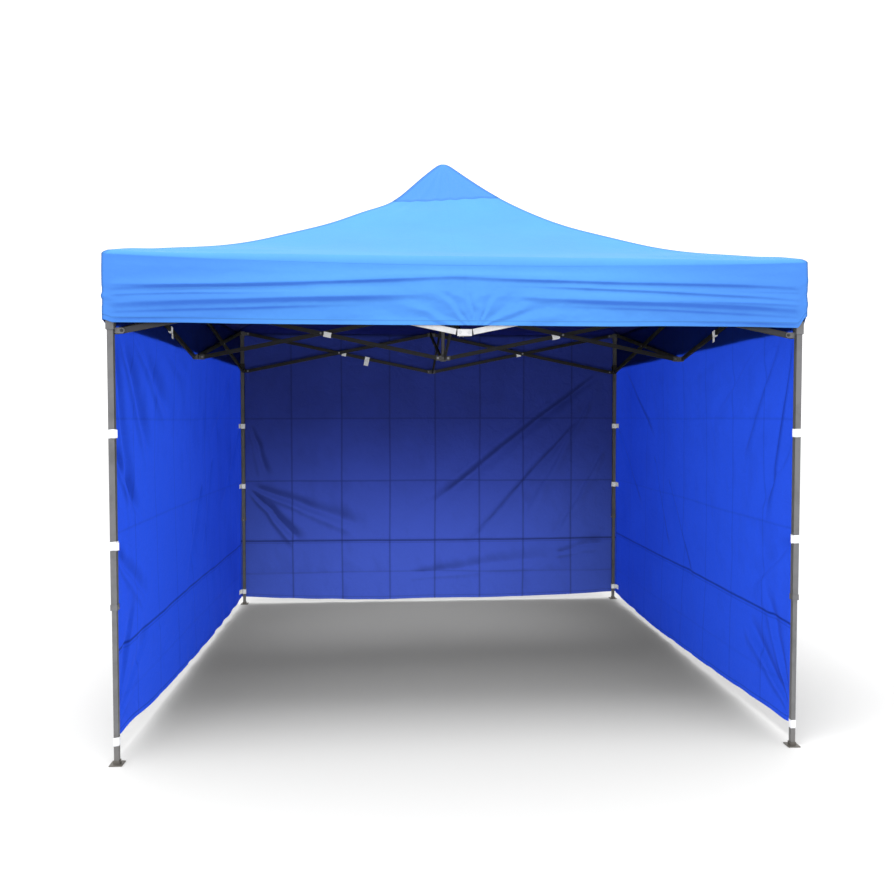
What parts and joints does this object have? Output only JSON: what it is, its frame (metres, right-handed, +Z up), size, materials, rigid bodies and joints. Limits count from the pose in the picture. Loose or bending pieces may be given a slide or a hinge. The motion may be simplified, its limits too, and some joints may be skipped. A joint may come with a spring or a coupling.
{
  "type": "pop up canopy",
  "caption": "Square folding-frame canopy: four telescoping legs, scissor trusses, centre pole, peaked cloth roof with a valance, and a cloth wall round three sides.",
  "frame": {"origin": "centre of the four feet on the ground", "axes": "+X to the right, -Y out of the open front, +Z up"},
  "size_m": [3.004, 3.004, 2.9818],
  "materials": {
    "leg_tube": "grey hammered paint",
    "truss_tube": "grey paint",
    "plastic": "moulded, fine grain",
    "zinc": "zinc plated",
    "roof_cloth": "coated plain weave, sky blue",
    "wall_cloth": "coated plain weave, royal blue"
  },
  "bodies": {
    "hub_upper": {"hub_upper": "plastic"},
    "hub_lower": {"hub_lower": "plastic"},
    "pole_upper": {"pole_upper": "leg_tube"},
    "inner_truss_front_bar_d": {"inner_truss_front_bar_d": "truss_tube"},
    "inner_truss_front_bar_c": {"inner_truss_front_bar_c": "truss_tube"},
    "mid_lower_front": {"mid_lower_front": "plastic"},
    "mid_upper_front": {"mid_upper_front": "plastic"},
    "roof_front": {"roof_front": "roof_cloth"},
    "truss_front_bar_a1": {"truss_front_bar_a1": "truss_tube"},
    "truss_front_bar_a2": {"truss_front_bar_a2": "truss_tube"},
    "truss_front_bar_b1": {"truss_front_bar_b1": "truss_tube"},
    "truss_front_bar_b2": {"truss_front_bar_b2": "truss_tube"},
    "outer_leg_front_left": {"outer_leg_front_left": "leg_tube"},
    "inner_leg_front_left": {"inner_leg_front_left": "leg_tube"},
    "slider_front_left": {"slider_front_left": "plastic"},
    "slider_pin_front_left": {"slider_pin_front_left": "plastic"},
    "leg_button_front_left": {"leg_button_front_left": "zinc"},
    "inner_truss_right_bar_d": {"inner_truss_right_bar_d": "truss_tube"},
    "inner_truss_right_bar_c": {"inner_truss_right_bar_c": "truss_tube"},
    "mid_lower_right": {"mid_lower_right": "plastic"},
    "mid_upper_right": {"mid_upper_right": "plastic"},
    "roof_right": {"roof_right": "roof_cloth"},
    "truss_right_bar_a1": {"truss_right_bar_a1": "truss_tube"},
    "truss_right_bar_a2": {"truss_right_bar_a2": "truss_tube"},
    "truss_right_bar_b1": {"truss_right_bar_b1": "truss_tube"},
    "truss_right_bar_b2": {"truss_right_bar_b2": "truss_tube"},
    "outer_leg_front_right": {"outer_leg_front_right": "leg_tube"},
    "inner_leg_front_right": {"inner_leg_front_right": "leg_tube"},
    "slider_front_right": {"slider_front_right": "plastic"},
    "slider_pin_front_right": {"slider_pin_front_right": "plastic"},
    "leg_button_front_right": {"leg_button_front_right": "zinc"},
    "inner_truss_rear_bar_d": {"inner_truss_rear_bar_d": "truss_tube"},
    "inner_truss_rear_bar_c": {"inner_truss_rear_bar_c": "truss_tube"},
    "mid_lower_rear": {"mid_lower_rear": "plastic"},
    "mid_upper_rear": {"mid_upper_rear": "plastic", "sidewall": "wall_cloth"},
    "roof_rear": {"roof_rear": "roof_cloth"},
    "truss_rear_bar_a1": {"truss_rear_bar_a1": "truss_tube"},
    "truss_rear_bar_a2": {"truss_rear_bar_a2": "truss_tube"},
    "truss_rear_bar_b1": {"truss_rear_bar_b1": "truss_tube"},
    "truss_rear_bar_b2": {"truss_rear_bar_b2": "truss_tube"},
    "outer_leg_rear_right": {"outer_leg_rear_right": "leg_tube"},
    "inner_leg_rear_right": {"inner_leg_rear_right": "leg_tube"},
    "slider_rear_right": {"slider_rear_right": "plastic"},
    "slider_pin_rear_right": {"slider_pin_rear_right": "plastic"},
    "leg_button_rear_right": {"leg_button_rear_right": "zinc"},
    "inner_truss_left_bar_d": {"inner_truss_left_bar_d": "truss_tube"},
    "inner_truss_left_bar_c": {"inner_truss_left_bar_c": "truss_tube"},
    "mid_lower_left": {"mid_lower_left": "plastic"},
    "mid_upper_left": {"mid_upper_left": "plastic"},
    "roof_left": {"roof_left": "roof_cloth"},
    "truss_left_bar_a1": {"truss_left_bar_a1": "truss_tube"},
    "truss_left_bar_a2": {"truss_left_bar_a2": "truss_tube"},
    "truss_left_bar_b1": {"truss_left_bar_b1": "truss_tube"},
    "truss_left_bar_b2": {"truss_left_bar_b2": "truss_tube"},
    "outer_leg_rear_left": {"outer_leg_rear_left": "leg_tube"},
    "inner_leg_rear_left": {"inner_leg_rear_left": "leg_tube"},
    "slider_rear_left": {"slider_rear_left": "plastic"},
    "slider_pin_rear_left": {"slider_pin_rear_left": "plastic"},
    "leg_button_rear_left": {"leg_button_rear_left": "zinc"}
  },
  "joints": [
    {"name": "frame_fold", "type": "hinge", "parent": "hub_upper", "child": "inner_truss_front_bar_d", "pos_m": [-0.009, -0.032, 2.12], "axis": [1, 0, 0], "range_deg": [0, 75], "stiffness_Nm_per_rad": 60, "springref_deg": -171.89, "deforming": ["roof_front", "roof_right", "roof_rear", "roof_left", "sidewall"]},
    {"name": "fold_mid_lower_front", "type": "hinge", "parent": "inner_truss_front_bar_d", "child": "mid_lower_front", "pos_m": [-0.009, -1.443, 1.83], "axis": [1, 0, 0], "range_deg": [-76, 1]},
    {"name": "fold_front_bar_c", "type": "hinge", "parent": "inner_truss_front_bar_d", "child": "inner_truss_front_bar_c", "pos_m": [0, -0.7375, 1.975], "axis": [1, 0, 0], "range_deg": [-151, 1]},
    {"name": "fold_mid_upper_front", "type": "hinge", "parent": "inner_truss_front_bar_c", "child": "mid_upper_front", "pos_m": [0.009, -1.443, 2.12], "axis": [1, 0, 0], "range_deg": [-1, 76]},
    {"name": "fold_hub_lower", "type": "hinge", "parent": "inner_truss_front_bar_c", "child": "hub_lower", "pos_m": [0.009, -0.032, 1.83], "axis": [1, 0, 0], "range_deg": [-1, 76]},
    {"name": "fold_roof_front", "type": "hinge", "parent": "mid_upper_front", "child": "roof_front", "pos_m": [0, -1.5, 2.15], "axis": [1, 0, 0], "range_deg": [-120.25, 1]},
    {"name": "fold_front_bar_a1", "type": "hinge", "parent": "mid_lower_front", "child": "truss_front_bar_a1", "pos_m": [-0.02, -1.484, 1.83], "axis": [0, 1, 0], "range_deg": [-1, 76]},
    {"name": "fold_front_bar_a2", "type": "hinge", "parent": "mid_lower_front", "child": "truss_front_bar_a2", "pos_m": [0.02, -1.484, 1.83], "axis": [0, 1, 0], "range_deg": [-76, 1]},
    {"name": "fold_front_bar_b1", "type": "hinge", "parent": "truss_front_bar_a1", "child": "truss_front_bar_b1", "pos_m": [-0.7255, -1.475, 1.975], "axis": [0, 1, 0], "range_deg": [-151, 1]},
    {"name": "fold_front_bar_b2", "type": "hinge", "parent": "truss_front_bar_a2", "child": "truss_front_bar_b2", "pos_m": [0.7255, -1.475, 1.975], "axis": [0, 1, 0], "range_deg": [-1, 151]},
    {"name": "fold_leg_front_left", "type": "hinge", "parent": "truss_front_bar_a1", "child": "outer_leg_front_left", "pos_m": [-1.431, -1.484, 2.12], "axis": [0, 1, 0], "range_deg": [-76, 1]},
    {"name": "fold_slider_front_left", "type": "hinge", "parent": "truss_front_bar_b1", "child": "slider_front_left", "pos_m": [-1.431, -1.466, 1.83], "axis": [0, 1, 0], "range_deg": [-1, 76]},
    {"name": "leg_height_front_left", "type": "slide", "parent": "outer_leg_front_left", "child": "inner_leg_front_left", "axis": [0, 0, 1], "range_m": [0, 0.6], "stiffness_N_per_m": 200, "springref_m": -1},
    {"name": "slider_pin_pull_front_left", "type": "slide", "parent": "slider_front_left", "child": "slider_pin_front_left", "axis": [1, 0, 0], "range_m": [0, 0.008], "stiffness_N_per_m": 400, "springref_m": -0.004},
    {"name": "leg_button_press_front_left", "type": "slide", "parent": "outer_leg_front_left", "child": "leg_button_front_left", "axis": [-1, 0, 0], "range_m": [0, 0.004], "stiffness_N_per_m": 600, "springref_m": -0.003},
    {"name": "fold_right_bar_d", "type": "hinge", "parent": "hub_upper", "child": "inner_truss_right_bar_d", "pos_m": [0.032, -0.009, 2.12], "axis": [0, 1, 0], "range_deg": [-1, 76]},
    {"name": "fold_mid_lower_right", "type": "hinge", "parent": "inner_truss_right_bar_d", "child": "mid_lower_right", "pos_m": [1.443, -0.009, 1.83], "axis": [0, 1, 0], "range_deg": [-76, 1]},
    {"name": "fold_right_bar_c", "type": "hinge", "parent": "inner_truss_right_bar_d", "child": "inner_truss_right_bar_c", "pos_m": [0.7375, 0, 1.975], "axis": [0, 1, 0], "range_deg": [-151, 1]},
    {"name": "fold_mid_upper_right", "type": "hinge", "parent": "inner_truss_right_bar_c", "child": "mid_upper_right", "pos_m": [1.443, 0.009, 2.12], "axis": [0, 1, 0], "range_deg": [-1, 76]},
    {"name": "fold_roof_right", "type": "hinge", "parent": "mid_upper_right", "child": "roof_right", "pos_m": [1.5, 0, 2.15], "axis": [0, 1, 0], "range_deg": [-120.25, 1]},
    {"name": "fold_right_bar_a1", "type": "hinge", "parent": "mid_lower_right", "child": "truss_right_bar_a1", "pos_m": [1.484, -0.02, 1.83], "axis": [-1, 0, 0], "range_deg": [-1, 76]},
    {"name": "fold_right_bar_a2", "type": "hinge", "parent": "mid_lower_right", "child": "truss_right_bar_a2", "pos_m": [1.484, 0.02, 1.83], "axis": [-1, 0, 0], "range_deg": [-76, 1]},
    {"name": "fold_right_bar_b1", "type": "hinge", "parent": "truss_right_bar_a1", "child": "truss_right_bar_b1", "pos_m": [1.475, -0.7255, 1.975], "axis": [-1, 0, 0], "range_deg": [-151, 1]},
    {"name": "fold_right_bar_b2", "type": "hinge", "parent": "truss_right_bar_a2", "child": "truss_right_bar_b2", "pos_m": [1.475, 0.7255, 1.975], "axis": [-1, 0, 0], "range_deg": [-1, 151]},
    {"name": "fold_leg_front_right", "type": "hinge", "parent": "truss_right_bar_a1", "child": "outer_leg_front_right", "pos_m": [1.484, -1.431, 2.12], "axis": [-1, 0, 0], "range_deg": [-76, 1]},
    {"name": "fold_slider_front_right", "type": "hinge", "parent": "truss_right_bar_b1", "child": "slider_front_right", "pos_m": [1.466, -1.431, 1.83], "axis": [-1, 0, 0], "range_deg": [-1, 76]},
    {"name": "leg_height_front_right", "type": "slide", "parent": "outer_leg_front_right", "child": "inner_leg_front_right", "axis": [0, 0, 1], "range_m": [0, 0.6], "stiffness_N_per_m": 200, "springref_m": -1},
    {"name": "slider_pin_pull_front_right", "type": "slide", "parent": "slider_front_right", "child": "slider_pin_front_right", "axis": [0, 1, 0], "range_m": [0, 0.008], "stiffness_N_per_m": 400, "springref_m": -0.004},
    {"name": "leg_button_press_front_right", "type": "slide", "parent": "outer_leg_front_right", "child": "leg_button_front_right", "axis": [0, -1, 0], "range_m": [0, 0.004], "stiffness_N_per_m": 600, "springref_m": -0.003},
    {"name": "fold_rear_bar_d", "type": "hinge", "parent": "hub_upper", "child": "inner_truss_rear_bar_d", "pos_m": [0.009, 0.032, 2.12], "axis": [-1, 0, 0], "range_deg": [-1, 76]},
    {"name": "fold_mid_lower_rear", "type": "hinge", "parent": "inner_truss_rear_bar_d", "child": "mid_lower_rear", "pos_m": [0.009, 1.443, 1.83], "axis": [-1, 0, 0], "range_deg": [-76, 1]},
    {"name": "fold_rear_bar_c", "type": "hinge", "parent": "inner_truss_rear_bar_d", "child": "inner_truss_rear_bar_c", "pos_m": [0, 0.7375, 1.975], "axis": [-1, 0, 0], "range_deg": [-151, 1]},
    {"name": "fold_mid_upper_rear", "type": "hinge", "parent": "inner_truss_rear_bar_c", "child": "mid_upper_rear", "pos_m": [-0.009, 1.443, 2.12], "axis": [-1, 0, 0], "range_deg": [-1, 76]},
    {"name": "fold_roof_rear", "type": "hinge", "parent": "mid_upper_rear", "child": "roof_rear", "pos_m": [0, 1.5, 2.15], "axis": [-1, 0, 0], "range_deg": [-120.25, 1]},
    {"name": "fold_rear_bar_a1", "type": "hinge", "parent": "mid_lower_rear", "child": "truss_rear_bar_a1", "pos_m": [0.02, 1.484, 1.83], "axis": [0, -1, 0], "range_deg": [-1, 76]},
    {"name": "fold_rear_bar_a2", "type": "hinge", "parent": "mid_lower_rear", "child": "truss_rear_bar_a2", "pos_m": [-0.02, 1.484, 1.83], "axis": [0, -1, 0], "range_deg": [-76, 1]},
    {"name": "fold_rear_bar_b1", "type": "hinge", "parent": "truss_rear_bar_a1", "child": "truss_rear_bar_b1", "pos_m": [0.7255, 1.475, 1.975], "axis": [0, -1, 0], "range_deg": [-151, 1]},
    {"name": "fold_rear_bar_b2", "type": "hinge", "parent": "truss_rear_bar_a2", "child": "truss_rear_bar_b2", "pos_m": [-0.7255, 1.475, 1.975], "axis": [0, -1, 0], "range_deg": [-1, 151]},
    {"name": "fold_leg_rear_right", "type": "hinge", "parent": "truss_rear_bar_a1", "child": "outer_leg_rear_right", "pos_m": [1.431, 1.484, 2.12], "axis": [0, -1, 0], "range_deg": [-76, 1]},
    {"name": "fold_slider_rear_right", "type": "hinge", "parent": "truss_rear_bar_b1", "child": "slider_rear_right", "pos_m": [1.431, 1.466, 1.83], "axis": [0, -1, 0], "range_deg": [-1, 76]},
    {"name": "leg_height_rear_right", "type": "slide", "parent": "outer_leg_rear_right", "child": "inner_leg_rear_right", "axis": [0, 0, 1], "range_m": [0, 0.6], "stiffness_N_per_m": 200, "springref_m": -1},
    {"name": "slider_pin_pull_rear_right", "type": "slide", "parent": "slider_rear_right", "child": "slider_pin_rear_right", "axis": [-1, 0, 0], "range_m": [0, 0.008], "stiffness_N_per_m": 400, "springref_m": -0.004},
    {"name": "leg_button_press_rear_right", "type": "slide", "parent": "outer_leg_rear_right", "child": "leg_button_rear_right", "axis": [1, 0, 0], "range_m": [0, 0.004], "stiffness_N_per_m": 600, "springref_m": -0.003},
    {"name": "fold_left_bar_d", "type": "hinge", "parent": "hub_upper", "child": "inner_truss_left_bar_d", "pos_m": [-0.032, 0.009, 2.12], "axis": [0, -1, 0], "range_deg": [-1, 76]},
    {"name": "fold_mid_lower_left", "type": "hinge", "parent": "inner_truss_left_bar_d", "child": "mid_lower_left", "pos_m": [-1.443, 0.009, 1.83], "axis": [0, -1, 0], "range_deg": [-76, 1]},
    {"name": "fold_left_bar_c", "type": "hinge", "parent": "inner_truss_left_bar_d", "child": "inner_truss_left_bar_c", "pos_m": [-0.7375, 0, 1.975], "axis": [0, -1, 0], "range_deg": [-151, 1]},
    {"name": "fold_mid_upper_left", "type": "hinge", "parent": "inner_truss_left_bar_c", "child": "mid_upper_left", "pos_m": [-1.443, -0.009, 2.12], "axis": [0, -1, 0], "range_deg": [-1, 76]},
    {"name": "fold_roof_left", "type": "hinge", "parent": "mid_upper_left", "child": "roof_left", "pos_m": [-1.5, 0, 2.15], "axis": [0, -1, 0], "range_deg": [-120.25, 1]},
    {"name": "fold_left_bar_a1", "type": "hinge", "parent": "mid_lower_left", "child": "truss_left_bar_a1", "pos_m": [-1.484, 0.02, 1.83], "axis": [1, 0, 0], "range_deg": [-1, 76]},
    {"name": "fold_left_bar_a2", "type": "hinge", "parent": "mid_lower_left", "child": "truss_left_bar_a2", "pos_m": [-1.484, -0.02, 1.83], "axis": [1, 0, 0], "range_deg": [-76, 1]},
    {"name": "fold_left_bar_b1", "type": "hinge", "parent": "truss_left_bar_a1", "child": "truss_left_bar_b1", "pos_m": [-1.475, 0.7255, 1.975], "axis": [1, 0, 0], "range_deg": [-151, 1]},
    {"name": "fold_left_bar_b2", "type": "hinge", "parent": "truss_left_bar_a2", "child": "truss_left_bar_b2", "pos_m": [-1.475, -0.7255, 1.975], "axis": [1, 0, 0], "range_deg": [-1, 151]},
    {"name": "fold_leg_rear_left", "type": "hinge", "parent": "truss_left_bar_a1", "child": "outer_leg_rear_left", "pos_m": [-1.484, 1.431, 2.12], "axis": [1, 0, 0], "range_deg": [-76, 1]},
    {"name": "fold_slider_rear_left", "type": "hinge", "parent": "truss_left_bar_b1", "child": "slider_rear_left", "pos_m": [-1.466, 1.431, 1.83], "axis": [1, 0, 0], "range_deg": [-1, 76]},
    {"name": "leg_height_rear_left", "type": "slide", "parent": "outer_leg_rear_left", "child": "inner_leg_rear_left", "axis": [0, 0, 1], "range_m": [0, 0.6], "stiffness_N_per_m": 200, "springref_m": -1},
    {"name": "slider_pin_pull_rear_left", "type": "slide", "parent": "slider_rear_left", "child": "slider_pin_rear_left", "axis": [0, -1, 0], "range_m": [0, 0.008], "stiffness_N_per_m": 400, "springref_m": -0.004},
    {"name": "leg_button_press_rear_left", "type": "slide", "parent": "outer_leg_rear_left", "child": "leg_button_rear_left", "axis": [0, 1, 0], "range_m": [0, 0.004], "stiffness_N_per_m": 600, "springref_m": -0.003},
    {"name": "fold_pole_upper", "type": "slide", "parent": "hub_upper", "child": "pole_upper", "axis": [0, 0, 1], "range_m": [-0.81, 0.01]}
  ],
  "couplings": [
    {"joint": "fold_mid_lower_front", "follows": "frame_fold", "ratio": -1},
    {"joint": "fold_front_bar_c", "follows": "frame_fold", "ratio": -2},
    {"joint": "fold_mid_upper_front", "follows": "frame_fold", "ratio": 1},
    {"joint": "fold_hub_lower", "follows": "frame_fold", "ratio": 1},
    {"joint": "fold_roof_front", "follows": "frame_fold", "ratio": -1.59},
    {"joint": "fold_front_bar_a1", "follows": "frame_fold", "ratio": 1},
    {"joint": "fold_front_bar_a2", "follows": "frame_fold", "ratio": -1},
    {"joint": "fold_front_bar_b1", "follows": "frame_fold", "ratio": -2},
    {"joint": "fold_front_bar_b2", "follows": "frame_fold", "ratio": 2},
    {"joint": "fold_leg_front_left", "follows": "frame_fold", "ratio": -1},
    {"joint": "fold_slider_front_left", "follows": "frame_fold", "ratio": 1},
    {"joint": "fold_right_bar_d", "follows": "frame_fold", "ratio": 1},
    {"joint": "fold_mid_lower_right", "follows": "frame_fold", "ratio": -1},
    {"joint": "fold_right_bar_c", "follows": "frame_fold", "ratio": -2},
    {"joint": "fold_mid_upper_right", "follows": "frame_fold", "ratio": 1},
    {"joint": "fold_roof_right", "follows": "frame_fold", "ratio": -1.59},
    {"joint": "fold_right_bar_a1", "follows": "frame_fold", "ratio": 1},
    {"joint": "fold_right_bar_a2", "follows": "frame_fold", "ratio": -1},
    {"joint": "fold_right_bar_b1", "follows": "frame_fold", "ratio": -2},
    {"joint": "fold_right_bar_b2", "follows": "frame_fold", "ratio": 2},
    {"joint": "fold_leg_front_right", "follows": "frame_fold", "ratio": -1},
    {"joint": "fold_slider_front_right", "follows": "frame_fold", "ratio": 1},
    {"joint": "fold_rear_bar_d", "follows": "frame_fold", "ratio": 1},
    {"joint": "fold_mid_lower_rear", "follows": "frame_fold", "ratio": -1},
    {"joint": "fold_rear_bar_c", "follows": "frame_fold", "ratio": -2},
    {"joint": "fold_mid_upper_rear", "follows": "frame_fold", "ratio": 1},
    {"joint": "fold_roof_rear", "follows": "frame_fold", "ratio": -1.59},
    {"joint": "fold_rear_bar_a1", "follows": "frame_fold", "ratio": 1},
    {"joint": "fold_rear_bar_a2", "follows": "frame_fold", "ratio": -1},
    {"joint": "fold_rear_bar_b1", "follows": "frame_fold", "ratio": -2},
    {"joint": "fold_rear_bar_b2", "follows": "frame_fold", "ratio": 2},
    {"joint": "fold_leg_rear_right", "follows": "frame_fold", "ratio": -1},
    {"joint": "fold_slider_rear_right", "follows": "frame_fold", "ratio": 1},
    {"joint": "fold_left_bar_d", "follows": "frame_fold", "ratio": 1},
    {"joint": "fold_mid_lower_left", "follows": "frame_fold", "ratio": -1},
    {"joint": "fold_left_bar_c", "follows": "frame_fold", "ratio": -2},
    {"joint": "fold_mid_upper_left", "follows": "frame_fold", "ratio": 1},
    {"joint": "fold_roof_left", "follows": "frame_fold", "ratio": -1.59},
    {"joint": "fold_left_bar_a1", "follows": "frame_fold", "ratio": 1},
    {"joint": "fold_left_bar_a2", "follows": "frame_fold", "ratio": -1},
    {"joint": "fold_left_bar_b1", "follows": "frame_fold", "ratio": -2},
    {"joint": "fold_left_bar_b2", "follows": "frame_fold", "ratio": 2},
    {"joint": "fold_leg_rear_left", "follows": "frame_fold", "ratio": -1},
    {"joint": "fold_slider_rear_left", "follows": "frame_fold", "ratio": 1},
    {"joint": "fold_pole_upper", "follows": "frame_fold", "m_per_rad": -0.59588}
  ]
}
